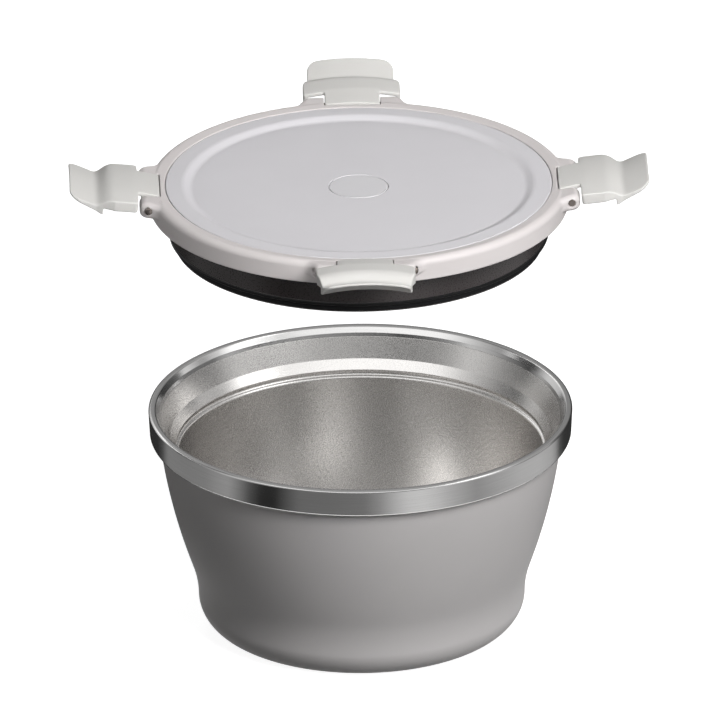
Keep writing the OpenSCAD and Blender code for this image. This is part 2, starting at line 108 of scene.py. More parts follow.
# Hinges and latches
pin_out, pin_h, pin_r, ear_wall, barrel_wall, ear_w = 0.8, 7.2, 1.7, 2.3, 1.4, 10.9
pin_play, pin_proud, pin_sunk = 0.05, 0.5, 1.2
ear_round, ear_corner, ear_blend, ear_sink, tongue_gap = 2.3, 5, 8, 3, 0.4
tongue_w, tongue_back, tongue_proud, plate_side_w = 26, 5.2, 0.6, 10
plate_gap, plate_clear, plate_t, side_w, side_clear = 0.9, 3.2, 2.2, 2, 0.4
latch_round, bend_above, bend_r, bend_lean, valley_drop, valley_r = 12, 5.2, 8, 38, 4.4, 6
tab_reach, tab_lean, tab_narrow, tab_t, tab_corner = 16.3, 19, 2.5, 1.4, 5.5
hook_gap, hook_reach, hook_t, plate_corner, tab_round = 0.3, 2.6, 1.1, 1.2, 0.5
open_lean = 5.4

# Sizes that follow, as in the CAD source
wall_r = rim_r - band_over
inner_r = rim_r - lip_round_out - lip_round_in
lip_foot_r, lip_foot_z = inner_r - lip_foot_in, bowl_h - lip_drop
mouth_step_r = inner_r - mouth_taper
seat_r = mouth_step_r - seat_w
mouth_z = bowl_h - mouth_depth
seat_z = mouth_z - seat_h
neck_z = seat_z - groove_h - neck_round
floor_h = plate_rise + floor_gap + 2 * sheet_t
frame_r = rim_r - frame_inset
panel_hole_r = frame_r - frame_w
frame_inner_h = frame_h - frame_fall
ledge_h = frame_inner_h - ledge_drop
web_h = ledge_h - web_t
panel_h = frame_inner_h - panel_sink
dish_r = panel_hole_r - ring_w
plug_r = mouth_step_r - plug_clear
seal_top = mouth_depth + seat_gap - seal_over
plug_depth = -plug_low
pin_at = frame_r + pin_out
pin_z = lid_z + pin_h
ear_r = pin_r + ear_wall
barrel_r = pin_r + barrel_wall
ear_half_in = tongue_w / 2 + tongue_gap
ear_half = ear_half_in + ear_w
tongue_out = ear_r + tongue_proud
plate_w = tongue_w + 2 * plate_side_w
plate_start = ear_r + plate_gap
plate_out = rim_r + plate_clear + plate_t - pin_at
hook_at = pin_h + seat_gap + bowl_h - band_bottom + hook_gap
bend_at = hook_at - bend_above
tip_at = hook_at + tab_reach
tab_w = plate_w - 2 * tab_narrow

# Mesh fineness
SIDES = 288              # sides of a full turn
RING_SIDES = 720         # of the lid frame's ring, which its remesh then evens out
CARD_SIDES = 96          # of a reflection card
SMALL_SIDES = 64         # of a small part
BORE_SIDES = 48          # of a pin or a bore
LATCH_SIDES, HINGE_SIDES = 96, 24          # steps across the width of a latch and of a hinge's floor
ARC_STEP = 6             # degrees between the points of an arc
ROUND_STEP = 12          # of a rounded corner
CORNER_STEP = 3          # of a broad corner
WALL_STEP = 1            # of a long flat arc
BULGE_STEP = 0.4         # of the flattest arcs
ROUND_SHARE = 0.48       # most of an edge that the round at its end takes
SUPPORT = 0.15           # distance of the support point beside a rounded corner
SUPPORT_SHARE = 0.4      # most that this is of the straight stretch beside the round
FRAME_GRID, LATCH_GRID = 0.32, 0.3         # grids of the remeshed mouldings
FRAME_SOFTENING, LATCH_SOFTENING = 8, 14   # how often each is smoothed
OVER = 1                 # overrun of every cut
BORE_OVER = 0.15         # what the remesh closes of a bore
SAME = 1e-4              # points nearer than this are one point


# Outlines

def polar(degrees):
    return np.array([math.cos(math.radians(degrees)), math.sin(math.radians(degrees))])


def sine(degrees):
    return math.sin(math.radians(degrees))


def slope(lean):
    """How far a leaning wall comes in for each millimetre down."""
    return math.tan(math.radians(lean))


def out(lean):
    """Direction straight out of a wall that leans in as it goes down."""
    return polar(-lean)


def arc(centre, radius, start, end, step=ARC_STEP):
    """Points along an arc, from one angle to another."""
    count = max(2, round(abs(end - start) / step))
    angles = np.linspace(start, end, count + 1)
    return [np.array(centre) + radius * polar(a) for a in angles]


def circle(centre, radius):
    """Closed outline of a pin or a bore."""
    return arc(centre, radius, 0, 360, 360 / BORE_SIDES)[:-1]


def soften(corners):
    """Closed outline of corners (r, z) or (r, z, round), with a support point on each side of a round."""
    points = []
    for i, corner in enumerate(corners):
        here = np.array(corner[:2], float)
        radius = corner[2] if len(corner) > 2 else 0
        if radius == 0:
            points.append(here)
            continue
        before = np.array(corners[i - 1][:2], float) - here
        after = np.array(corners[(i + 1) % len(corners)][:2], float) - here
        lengths = np.linalg.norm(before), np.linalg.norm(after)
        u, v = before / lengths[0], after / lengths[1]
        half = math.acos(max(-1, min(1, u @ v))) / 2
        reach = min(radius / math.tan(half), ROUND_SHARE * min(lengths))
        radius = reach * math.tan(half)
        middle = here + (u + v) / np.linalg.norm(u + v) * radius / math.sin(half)
        p, q = here + u * reach - middle, here + v * reach - middle
        start = math.degrees(math.atan2(p[1], p[0]))
        turn = math.degrees(math.atan2(p[0] * q[1] - p[1] * q[0], p @ q))
        points.append(here + u * (reach + min(SUPPORT, SUPPORT_SHARE * (lengths[0] - reach))))
        points += arc(middle, radius, start, start + turn, ROUND_STEP)
        points.append(here + v * (reach + min(SUPPORT, SUPPORT_SHARE * (lengths[1] - reach))))
    return points


# Meshes

def solid(name, points, faces):
    """New object from points in millimetres."""
    mesh = bpy.data.meshes.new(name)
    mesh.from_pydata([tuple(MM * c for c in p) for p in points], [], faces)
    mesh.validate()
    made = bmesh.new()
    made.from_mesh(mesh)
    bmesh.ops.recalc_face_normals(made, faces=made.faces)
    made.to_mesh(mesh)
    made.free()
    piece = bpy.data.objects.new(name, mesh)
    bpy.context.scene.collection.objects.link(piece)
    smooth(piece)
    return piece


def smooth(piece):
    piece.data.polygons.foreach_set("use_smooth", [True] * len(piece.data.polygons))


def lathe(name, outline, sides=SIDES, lift=0, start=0, sweep=360):
    """A closed outline (r, z) turned about Z, all round or over a part of the turn."""
    outline = [p for i, p in enumerate(outline) if math.dist(p, outline[i - 1]) > SAME]
    full = sweep == 360
    rings = sides if full else sides + 1
    points, index = [], []
    for r, z in outline:
        on_axis = abs(r) < SAME
        index.append((len(points), on_axis))
        for k in range(1 if on_axis else rings):
            angle = math.radians(start + sweep * k / sides)
            points.append((r * math.cos(angle), r * math.sin(angle), z + lift))
    faces = []
    for i in range(len(outline)):
        (a, a_axis), (b, b_axis) = index[i], index[(i + 1) % len(outline)]
        if a_axis and b_axis:
            continue
        for k in range(sides):
            n = (k + 1) % rings
            if a_axis:
                faces.append((a, b + n, b + k))
            elif b_axis:
                faces.append((a + k, a + n, b))
            else:
                faces.append((a + k, a + n, b + n, b + k))
    if not full:
        ends = [[a + k for a, _ in index] for k in (0, sides)]
        faces += [tuple(ends[0]), tuple(reversed(ends[1]))]
    return solid(name, points, faces)


def loft(name, rings):
    """Solid through closed rings of equally many points, one above the other."""
    count = len(rings[0])
    points = [p for ring in rings for p in ring]
    faces = [tuple(range(count)), tuple(range(len(points) - 1, len(points) - count - 1, -1))]
    for start in range(0, len(points) - count, count):
        for i in range(count):
            n = (i + 1) % count
            faces.append((start + i, start + n, start + count + n, start + count + i))
    return solid(name, points, faces)


def prism(name, outline, low, high, axis="Z"):
    """A closed outline extruded along an axis: (x, y) along Z, (x, z) along Y or (y, z) along X."""
    order = {"Z": lambda p, h: (p[0], p[1], h), "Y": lambda p, h: (p[0], h, p[1]),
             "X": lambda p, h: (h, p[0], p[1])}[axis]
    return loft(name, [[order(p, h) for p in outline] for h in (low, high)])


def baked(piece):
    """Applies the piece's modifiers to its mesh."""
    graph = bpy.context.evaluated_depsgraph_get()
    mesh = bpy.data.meshes.new_from_object(piece.evaluated_get(graph))
    old = piece.data
    piece.modifiers.clear()
    piece.data = mesh
    bpy.data.meshes.remove(old)
    return piece


def combine(piece, tool, operation):
    """Boolean of two solids, which uses the second one up."""
    step = piece.modifiers.new("combine", "BOOLEAN")
    step.operation, step.solver, step.object = operation, "EXACT", tool
    baked(piece)
    bpy.data.objects.remove(tool)
    return piece


def joined(name, pieces):
    """One object with the shells of several."""
    made = bmesh.new()
    for piece in pieces:
        copy = piece.data.copy()
        copy.transform(piece.matrix_world)
        made.from_mesh(copy)
        bpy.data.meshes.remove(copy)
        bpy.data.objects.remove(piece)
    mesh = bpy.data.meshes.new(name)
    made.to_mesh(mesh)
    made.free()
    whole = bpy.data.objects.new(name, mesh)
    bpy.context.scene.collection.objects.link(whole)
    return whole


def moulded(piece, voxel, rounds):
    """Fuses a piece's shells on a fine grid and softens all its edges, as a moulding's are."""
    grid = piece.modifiers.new("grid", "REMESH")
    grid.mode, grid.voxel_size, grid.use_smooth_shade = "VOXEL", voxel * MM, True
    soft = piece.modifiers.new("soft", "SMOOTH")
    soft.factor, soft.iterations = 0.5, rounds
    baked(piece)
    smooth(piece)
    return piece


def turned_copy(piece, name, degrees):
    """The same mesh, turned about the bowl's axis."""
    copy = bpy.data.objects.new(name, piece.data)
    copy.matrix_world = Matrix.Rotation(math.radians(degrees), 4, "Z")
    bpy.context.scene.collection.objects.link(copy)
    return copy


def dress(piece, node, body, material):
    """Puts a finished piece in a CAD node's place.

    The bowl's steel mirrors nothing of the lid, as in the photograph.
    """
    piece.visible_glossy = body == "bowl"
    piece.data.materials.clear()
    piece.data.materials.append(material)
    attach(piece, body)
    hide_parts(node)


# Materials

NOISE_MIDDLE = (0.3, 0.7)    # most values of a noise lie between these


def new_material(name, base, roughness, metallic=0.0, specular=0.5):
    """A Principled material, with its node tree, shader and object coordinates."""
    material = bpy.data.materials.new(name)
    material.use_nodes = True
    nodes, links = material.node_tree.nodes, material.node_tree.links
    shader = nodes["Principled BSDF"]
    shader.inputs["Base Color"].default_value = (*base, 1)
    shader.inputs["Roughness"].default_value = roughness
    shader.inputs["Metallic"].default_value = metallic
    shader.inputs["Specular IOR Level"].default_value = specular
    place = nodes.new("ShaderNodeTexCoord").outputs["Object"]
    return material, nodes, links, shader, place


def noise(nodes, links, place, size, detail=2.0, stretch=None):
    """Noise whose grains are about size millimetres wide."""
    texture = nodes.new("ShaderNodeTexNoise")
    texture.inputs["Scale"].default_value = 1 / (size * MM)
    texture.inputs["Detail"].default_value = detail
    if stretch:
        mapping = nodes.new("ShaderNodeMapping")
        mapping.inputs["Scale"].default_value = stretch
        links.new(place, mapping.inputs["Vector"])
        place = mapping.outputs["Vector"]
    links.new(place, texture.inputs["Vector"])
    return texture.outputs["Fac"]


def ramp(nodes, links, value, low, high, low_at=0.0, high_at=1.0):
    """Value stretched from low to high over its own range low_at to high_at."""
    node = nodes.new("ShaderNodeMapRange")
    ends = {"From Min": low_at, "From Max": high_at, "To Min": low, "To Max": high}
    for key, number in ends.items():
        node.inputs[key].default_value = number
    links.new(value, node.inputs["Value"])
    return node.outputs["Result"]


def tinted(nodes, links, value, dark, pale):
    """Mix of two colours by a value from 0 to 1."""
    node = nodes.new("ShaderNodeMix")
    node.data_type = "RGBA"
    node.inputs["A"].default_value = (*dark, 1)
    node.inputs["B"].default_value = (*pale, 1)
    links.new(value, node.inputs["Factor"])
    return node.outputs["Result"]


def bumped(nodes, links, shader, value, depth):
    """Bump of a depth in millimetres."""
    node = nodes.new("ShaderNodeBump")
    node.inputs["Strength"].default_value = 1
    node.inputs["Distance"].default_value = depth * MM
    links.new(value, node.inputs["Height"])
    links.new(node.outputs["Normal"], shader.inputs["Normal"])


def vary_colour(nodes, links, shader, value, base, dark, pale):
    """Lets a value from 0 to 1 run the base colour from a dark to a pale shade of it."""
    shades = [tuple(c * factor for c in base) for factor in (dark, pale)]
    links.new(tinted(nodes, links, value, *shades), shader.inputs["Base Color"])


def vary_roughness(nodes, links, shader, value, low, high):
    """Lets the middle part of a noise's values run the roughness from low to high."""
    links.new(ramp(nodes, links, value, low, high, *NOISE_MIDDLE), shader.inputs["Roughness"])


def painted_shell():
    """Matte powder coat with a fine orange-peel grain."""
    base = (0.43, 0.416, 0.414)
    material, nodes, links, shader, place = new_material("powder_coat", base, 0.62, specular=0.4)
    cloud = noise(nodes, links, place, size=30)
    vary_colour(nodes, links, shader, cloud, base, dark=0.97, pale=1.03)
    grain = noise(nodes, links, place, size=0.45, detail=3)
    vary_roughness(nodes, links, shader, grain, low=0.56, high=0.68)
    bumped(nodes, links, shader, grain, depth=0.025)
    return material


def satin_steel():
    """Blasted steel: a fine grain that sparkles."""
    base = (0.72, 0.705, 0.69)
    material, nodes, links, shader, place = new_material("blasted_steel", base, 0.23, metallic=1)
    cloud = noise(nodes, links, place, size=12, detail=3)
    vary_colour(nodes, links, shader, cloud, base, dark=0.96, pale=1.04)
    grain = noise(nodes, links, place, size=0.4, detail=2)
    vary_roughness(nodes, links, shader, grain, low=0.2, high=0.3)
    bumped(nodes, links, shader, grain, depth=0.005)
    return material


def around(nodes, links, place, radius):
    """Coordinates (way round, height, way out) on a ring of about that radius."""
    split = nodes.new("ShaderNodeSeparateXYZ")
    links.new(place, split.inputs["Vector"])
    angle = nodes.new("ShaderNodeMath")
    angle.operation = "ARCTAN2"
    links.new(split.outputs["Y"], angle.inputs[0])
    links.new(split.outputs["X"], angle.inputs[1])
    way = nodes.new("ShaderNodeMath")
    way.operation = "MULTIPLY"
    way.inputs[1].default_value = radius * MM
    links.new(angle.outputs["Value"], way.inputs[0])
    flat = nodes.new("ShaderNodeVectorMath")
    flat.operation = "MULTIPLY"
    flat.inputs[1].default_value = (1, 1, 0)
    links.new(place, flat.inputs[0])
    out_way = nodes.new("ShaderNodeVectorMath")
    out_way.operation = "LENGTH"
    links.new(flat.outputs["Vector"], out_way.inputs[0])
    both = nodes.new("ShaderNodeCombineXYZ")
    links.new(way.outputs["Value"], both.inputs["X"])
    links.new(split.outputs["Z"], both.inputs["Y"])
    links.new(out_way.outputs["Value"], both.inputs["Z"])
    return both.outputs["Vector"]


def brushed_band():
    """Steel brushed round and round, with long fine streaks."""
    base = (0.62, 0.615, 0.61)
    material, nodes, links, shader, place = new_material("brushed_steel", base, 0.26, metallic=1)
    wall = around(nodes, links, place, rim_r)
    streak = noise(nodes, links, wall, size=0.3, detail=4, stretch=(0.012, 1, 1))
    patch = noise(nodes, links, wall, size=6, detail=2, stretch=(0.2, 1, 1))
    vary_colour(nodes, links, shader, streak, base, dark=0.88, pale=1.08)
    vary_roughness(nodes, links, shader, patch, low=0.125, high=0.17)
    shader.inputs["Anisotropic"].default_value = 0.35
    shader.inputs["Anisotropic Rotation"].default_value = 0.25
    tangent = nodes.new("ShaderNodeTangent")
    tangent.direction_type, tangent.axis = "RADIAL", "Z"
    links.new(tangent.outputs["Tangent"], shader.inputs["Tangent"])
    bumped(nodes, links, shader, streak, depth=0.006)
    return material


def plastic(name, base, roughness, grain_size, depth):
    """Moulded plastic with a spark-eroded grain and a faint unevenness of colour."""
    material, nodes, links, shader, place = new_material(name, base, roughness)
    cloud = noise(nodes, links, place, size=25)
    vary_colour(nodes, links, shader, cloud, base, dark=0.98, pale=1.02)
    grain = noise(nodes, links, place, size=grain_size, detail=2)
    vary_roughness(nodes, links, shader, grain, roughness - 0.05, roughness + 0.05)
    bumped(nodes, links, shader, grain, depth)
    return material


def silicone():
    """Black silicone, a little dusty between its lips."""
    base = (0.003, 0.003, 0.0033)
    material, nodes, links, shader, place = new_material("silicone", base, 0.42, specular=0.15)
    dust = noise(nodes, links, place, size=3, detail=4)
    vary_colour(nodes, links, shader, dust, base, dark=0.8, pale=1.5)
    vary_roughness(nodes, links, shader, dust, low=0.36, high=0.5)
    return material


def turned_steel(name, base, roughness):
    """Drawn steel wire or plate, with fine marks."""
    material, nodes, links, shader, place = new_material(name, base, roughness, metallic=1)
    marks = noise(nodes, links, place, size=0.4, detail=3)
    vary_colour(nodes, links, shader, marks, base, dark=0.9, pale=1.06)
    vary_roughness(nodes, links, shader, marks, roughness - 0.06, roughness + 0.08)
    bumped(nodes, links, shader, marks, depth=0.004)
    return material


# Bowl

def wall_line(t):
    """The painted wall from the band down to the base, drawn in by t, and the base plate's radius."""
    bulge_r = (band_bottom - waist_h) / (sine(waist_lean) - sine(top_lean))
    bulge_c = np.array([wall_r, band_bottom]) - bulge_r * out(top_lean)
    bulge_end = bulge_c + bulge_r * out(waist_lean)
    waist_p = bulge_end - waist_run * np.array([slope(waist_lean), 1])
    foot_z = base_corner_r * (1 - sine(foot_lean))
    waist_r = (waist_p[1] - foot_z) / (sine(waist_lean) - sine(foot_lean))
    waist_c = waist_p + waist_r * out(waist_lean)
    corner_c = waist_c - (waist_r + base_corner_r) * out(foot_lean)
    wall = (arc(bulge_c, bulge_r - t, -top_lean, -waist_lean, BULGE_STEP)
            + arc(waist_c, waist_r + t, 180 - waist_lean, 180 - foot_lean, WALL_STEP)
            + arc(corner_c, base_corner_r - t, -foot_lean, -90, CORNER_STEP))
    return wall, corner_c[0] - base_ring_w


def outer_shell():
    outside, plate_r = wall_line(0)
    inside, _ = wall_line(sheet_t)
    top = band_bottom + shell_lap
    hem_r = plate_r + sheet_t
    hem = soften([(plate_r + hem_run, 0), (plate_r, 0, hem_round), (plate_r, hem_h, 0.3),
                  (hem_r, hem_h, 0.3), (hem_r, sheet_t, hem_round - sheet_t), (hem_r + hem_run, sheet_t)])
    return lathe("painted_shell", [(wall_r, top)] + outside + hem
                 + inside[::-1] + [(wall_r - sheet_t, top)])


def cavity_line(t):
    """The food space from its neck down to the middle of its floor, let out by t."""
    cavity_p = np.array([seat_r - neck_in, neck_z])
    neck_c = cavity_p + neck_round * out(cavity_top_lean)
    bulge_r = (neck_z - cavity_waist_h) / (sine(cavity_waist_lean) - sine(cavity_top_lean))
    bulge_c = cavity_p - bulge_r * out(cavity_top_lean)
    end = bulge_c + bulge_r * out(cavity_waist_lean)
    corner_z = floor_h + cavity_corner_r
    run = end[1] - corner_z + cavity_corner_r * sine(cavity_waist_lean)
    low = end - run * np.array([slope(cavity_waist_lean), 1])
    corner_c = low - cavity_corner_r * out(cavity_waist_lean)
    return (arc(neck_c, neck_round - t, neck_turn, 180 - cavity_top_lean, 8)
            + arc(bulge_c, bulge_r + t, -cavity_top_lean, -cavity_waist_lean, BULGE_STEP)
            + arc(corner_c, cavity_corner_r + t, -cavity_waist_lean, -90, CORNER_STEP)
            + [np.array([0, floor_h - t])])


def mouth_r_at(z):
    """Radius of the mouth wall, which runs straight from the lip's slope down to the seat."""
    return mouth_step_r + (z - mouth_z) * (lip_foot_r - mouth_step_r) / (lip_foot_z - mouth_z)


def inner_liner():
    def mouth(t):
        top = np.array((mouth_r_at(bowl_h - seam_depth) + t, bowl_h - seam_depth))
        step = np.array((mouth_step_r + t, mouth_z))
        groove_r = seat_r + groove_d + t
        return soften([top, top + (step - top) * SUPPORT / mouth_depth, (*step, 0.5),
                       (seat_r + t, seat_z, 0.3), (groove_r, seat_z - groove_d, 0.4),
                       (groove_r, seat_z - groove_h + groove_d)])
    return lathe("steel_liner", mouth(0) + cavity_line(0)
                 + cavity_line(sheet_t)[::-1] + mouth(sheet_t)[::-1])


def rim_band():
    """The band from its hem up over the lip, and down the lip's slope to the mouth wall."""
    seam_z = bowl_h - seam_depth
    edge_r = lip_foot_r + lip_drop / slope(lip_lean)

    def line(t):
        foot = (rim_r - band_draw - t, band_bottom)
        hem_c = [rim_r - band_draw - band_round, band_bottom + band_round]
        hem = arc(hem_c, band_round - t, -90, 0, 9)
        lip = soften([foot, (rim_r - t, bowl_h - t, lip_edge - t), (edge_r + t / 2, bowl_h - t, lip_edge),
                      (lip_foot_r + t, lip_foot_z - t / 3, lip_edge),
                      (mouth_r_at(seam_z + SUPPORT) + t, seam_z + SUPPORT),
                      (mouth_r_at(seam_z) + t, seam_z)])
        return [np.array([wall_r, band_bottom + t])] + hem + lip[1:]
    return lathe("folded_band", line(0) + line(sheet_t)[::-1])


def base_plate():
    _, plate_r = wall_line(0)
    low, high = plate_rise, plate_rise + sheet_t
    return lathe("closing_plate", soften([
        (0, low + dimple_d), (dimple_r, low + dimple_d, 0.8), (dimple_r + dimple_d, low, 0.8),
        (plate_r, low, 0.15), (plate_r, high, 0.15), (dimple_r + dimple_d, high, 0.5),
        (dimple_r, high + dimple_d, 0.5), (0, high + dimple_d)]))


def getter():
    z = plate_rise + sheet_t
    piece = lathe("getter_capsule", soften([
        (0, z), (getter_r, z, 0.2), (getter_r, z + getter_t, 0.5), (0.8 * getter_r, z + getter_t, 0.3),
        (0.7 * getter_r, z + 0.8 * getter_t, 0.3), (0, z + 0.8 * getter_t)]), sides=SMALL_SIDES)
    piece.location.x = getter_at * MM
    return piece


def sealing_bead():
    top = plate_rise + dimple_d
    low = top - bead_r / 3
    edge = arc((bead_r - bead_round, low + bead_round), bead_round, 0, -90, 15)
    return lathe("sealing_bead", [(0, top), (bead_r, top)] + edge + [(0, low)], sides=SMALL_SIDES)


# Lid

def frame_ring():
    """The lid frame's ring, before its hinges."""
    inner = panel_hole_r - ledge_w
    return lathe("ring", [(frame_r - frame_wall, 0), (frame_r, 0)]
                 + arc((frame_r - shoulder_r, frame_h - shoulder_r), shoulder_r, 0, 90, 5)
                 + [(panel_hole_r, frame_inner_h), (panel_hole_r, ledge_h), (inner, ledge_h),
                    (inner, web_h), (frame_r - frame_wall, web_h)], sides=RING_SIDES)


def ear_outline(side):
    """Outline of an ear seen from above, drawn in by t, with the blend into the ring's wall."""
    corner = np.array([pin_at + ear_r - ear_corner, ear_half - ear_corner])
    far, reach, touch = np.linalg.norm(corner), frame_r + ear_blend, ear_corner + ear_blend
    turn = math.degrees(math.atan2(corner[1], corner[0])
                        + math.acos((reach ** 2 + far ** 2 - touch ** 2) / (2 * reach * far)))
    middle = reach * polar(turn)
    lean = math.degrees(math.atan2(middle[1] - corner[1], middle[0] - corner[0]))

    def outline(t):
        points = ([(panel_hole_r, ear_half_in), (pin_at + ear_r - t, ear_half_in)]
                  + arc(corner, ear_corner - t, 0, lean)
                  + arc(middle, ear_blend + t, 180 + lean, 180 + turn)[1:]
                  + [(frame_r - ear_sink - shoulder_r) * polar(turn)])
        return [(x, side * y) for x, y in points]
    return outline


def ear(side):
    """One ear of the hinge on +X. The ring's shoulder runs on round its upper edge."""
    outline = ear_outline(side)
    tilt = (pin_h + ear_r - frame_inner_h) / (pin_at + ear_r - shoulder_r - panel_hole_r)
    rings = []
    for angle in range(0, 91, 15):
        t, rise = ear_round * (1 - polar(angle)[1]), ear_round * (1 - polar(angle)[0])
        rings.append([(x, y, pin_h - ear_r + rise) for x, y in outline(t)])
    for angle in range(0, 91, 10):
        t, fall = shoulder_r * (1 - polar(angle)[0]), shoulder_r * (1 - polar(angle)[1])
        rings.append([(x, y, frame_inner_h + tilt * (min(x, frame_r) - panel_hole_r) - fall)
                      for x, y in outline(t)])
    return loft("ear", rings)


def hinge_floor():
    """The solid floor under one hinge."""
    wide = math.degrees(math.asin(ear_half / frame_r))
    return lathe("floor", [(panel_hole_r, flange_t), (frame_r - frame_wall + OVER, flange_t),
                           (frame_r - frame_wall + OVER, web_h + OVER), (panel_hole_r, web_h + OVER)],
                 sides=HINGE_SIDES, start=-wide, sweep=2 * wide)


def lid_frame():
    """The ring with its hinges: each solid is cut, and then all are fused into one moulding."""
    ring = frame_ring()
    hinges = []
    lean_in, lean_up = polar(open_lean)
    notch_in = pin_at - tongue_back * lean_in - tongue_out * lean_up - tongue_gap
    floor_z = pin_h - barrel_r - tongue_gap
    room_outline = [(notch_in, floor_z), (2 * frame_r, floor_z), (2 * frame_r, 2 * frame_h),
                    (notch_in, 2 * frame_h)]
    bore_end = ear_half + ear_corner
    for turn in range(0, 360, 90):
        spin = Matrix.Rotation(math.radians(turn), 4, "Z")
        for part in [ring, ear(1), ear(-1), hinge_floor()]:
            if part != ring:
                part.data.transform(spin)
                hinges.append(part)
            room = prism("room", room_outline, -ear_half_in, ear_half_in, "Y")
            bore = prism("bore", circle((pin_at, pin_h), pin_r + BORE_OVER), -bore_end, bore_end, "Y")
            for tool in (room, bore):
                tool.data.transform(spin)
                combine(part, tool, "DIFFERENCE")
    whole = moulded(joined("lid_ring", [ring] + hinges), FRAME_GRID, FRAME_SOFTENING)
    whole.data.transform(Matrix.Translation((0, 0, lid_z * MM)))
    return whole


def lid_panel():
    r = panel_hole_r - panel_gap
    low = panel_h - dish_d
    return lathe("dished_panel", soften([
        (0, low - disc_t), (disc_r + disc_gap, low - disc_t, 0.1), (disc_r + disc_gap, low, 0.35),
        (dish_r - dish_slope_w, low, dish_round), (dish_r, panel_h, dish_round),
        (r, panel_h, panel_round), (r, ledge_h, 0.2), (dish_r, ledge_h, 1),
        (dish_r - dish_slope_w, low - panel_t, 1), (0, low - panel_t)]), lift=lid_z)


def centre_disc():
    top = panel_h - dish_d
    return lathe("round_disc", soften([
        (0, top - disc_t), (disc_r, top - disc_t, 0.1), (disc_r, top, 0.35), (0, top)]), lift=lid_z)


def lid_plug():
    groove_r = plug_r - seal_groove
    flange_r, inner = frame_r - frame_wall, groove_r - plug_wall
    return lathe("plug_cup", soften([
        (0, -plug_depth), (groove_r + lip_w, -plug_depth, 0.3),
        (groove_r + lip_w, -plug_depth + lip_t / 2, 0.15), (groove_r, -seal_top - seal_h),
        (groove_r, -seal_top), (plug_r, -seal_top, 0.4), (plug_r, 0, 0.6), (flange_r, 0, 0.2),
        (flange_r, flange_t, 0.2), (plug_r, flange_t), (plug_r, web_h, 0.2), (inner, web_h, 0.2),
        (inner, -plug_depth + plug_wall, 1), (0, -plug_depth + plug_wall)]), lift=lid_z)


def seat_r_at(d):
    """Radius of the sloping seat at a depth below the frame's bottom edge, with the lid closed."""
    return mouth_step_r - (d - seat_gap - mouth_depth) * seat_w / seat_h


def lid_seal():
    inner = plug_r - seal_groove
    upper, lower = seal_top + seal_lip, seal_top + seal_h - seal_lip
    middle = (upper + lower) / 2
    reach = seal_clear + seal_lip
    return lathe("two_lip_seal", [(inner, -seal_top)]
                 + arc((seat_r_at(upper) - reach, -upper), seal_lip, 90, -50, 10)
                 + arc((seat_r_at(middle) - reach + ridge_in, -middle), ridge_r, 140, 220, 10)
                 + arc((seat_r_at(lower) - reach, -lower), seal_lip, 50, -90, 10)
                 + [(inner, -seal_top - seal_h)], lift=lid_z)


# Hinge pins and latches

def hinge_pin():
    """The pin of the right hinge, domed at its +Y end."""
    crown = (pin_r ** 2 + pin_proud ** 2) / (2 * pin_proud)
    rise = math.degrees(math.asin(pin_r / crown))
    outline = soften([(0, pin_sunk - ear_half), (pin_r, pin_sunk - ear_half, 0.2), (pin_r, 0)])[:-1]
    outline += arc((0, ear_half + pin_proud - crown), crown, 90 - rise, 90, 4)
    outline[-1] = np.array([0, ear_half + pin_proud])
    pin = lathe("pin", outline, sides=BORE_SIDES)
    place = Matrix.Translation((pin_at * MM, 0, pin_z * MM))
    pin.data.transform(place @ Matrix.Rotation(-math.pi / 2, 4, "X"))
    return pin


def latch_section():
    """Section of a closed latch, as radius and height from its pin."""
    outer = pin_at + plate_out
    inner = outer - plate_t
    bend_c = np.array([outer - bend_r, -bend_at])
    bend_end = bend_c + bend_r * out(bend_lean)
    drop = valley_drop - outer + bend_end[0]
    valley = bend_end - drop * np.array([1, 1 / slope(bend_lean)])
    tip = np.array([valley[0] + (tip_at + valley[1]) * slope(tab_lean), -tip_at])
    hook_r = rim_r - hook_reach
    return soften([
        (pin_at + tongue_out - plate_t, tongue_back), (pin_at + tongue_out, tongue_back),
        (outer, -plate_start - plate_t, latch_round)]
        + [tuple(p) for p in arc(bend_c, bend_r, 0, -bend_lean, 4)]
        + [(*valley, valley_r), (tip[0], tip[1], tab_round), (tip[0] - tab_t, tip[1], tab_round),
           (hook_r, -hook_at - hook_t), (hook_r, -hook_at), (bend_end[0] - plate_t, -hook_at),
           (inner, -bend_at - plate_t / 2), (inner, -plate_start)])


def latch_edge(t):
    """Half outline of a closed latch, seen from the front, drawn in by t."""
    return ([(tongue_w / 2, tongue_back), (tongue_w / 2, -plate_start)]
            + arc((plate_w / 2 - t - plate_corner, -plate_start - plate_corner), plate_corner, 90, 0)
            + [(plate_w / 2 - t, -bend_at), (tab_w / 2 - t, -hook_at - hook_t - plate_t)]
            + arc((tab_w / 2 - t - tab_corner, tab_corner - tip_at), tab_corner, 0, -90))


def latch_prism(t, lift=0):
    half = [(p[0], p[1] + lift) for p in latch_edge(t)]
    outline = half + [(-y, z) for y, z in reversed(half)]
    return prism("outline", outline, pin_at - 2 * ear_r, pin_at + 3 * ear_r, "X")


def sector(name, outline):
    """An outline (r, z) turned about Z over the width of a latch."""
    wide = math.degrees(math.asin((plate_w / 2 + 2 * OVER) / (rim_r - hook_reach)))
    return lathe(name, outline, sides=LATCH_SIDES, start=-wide, sweep=2 * wide)


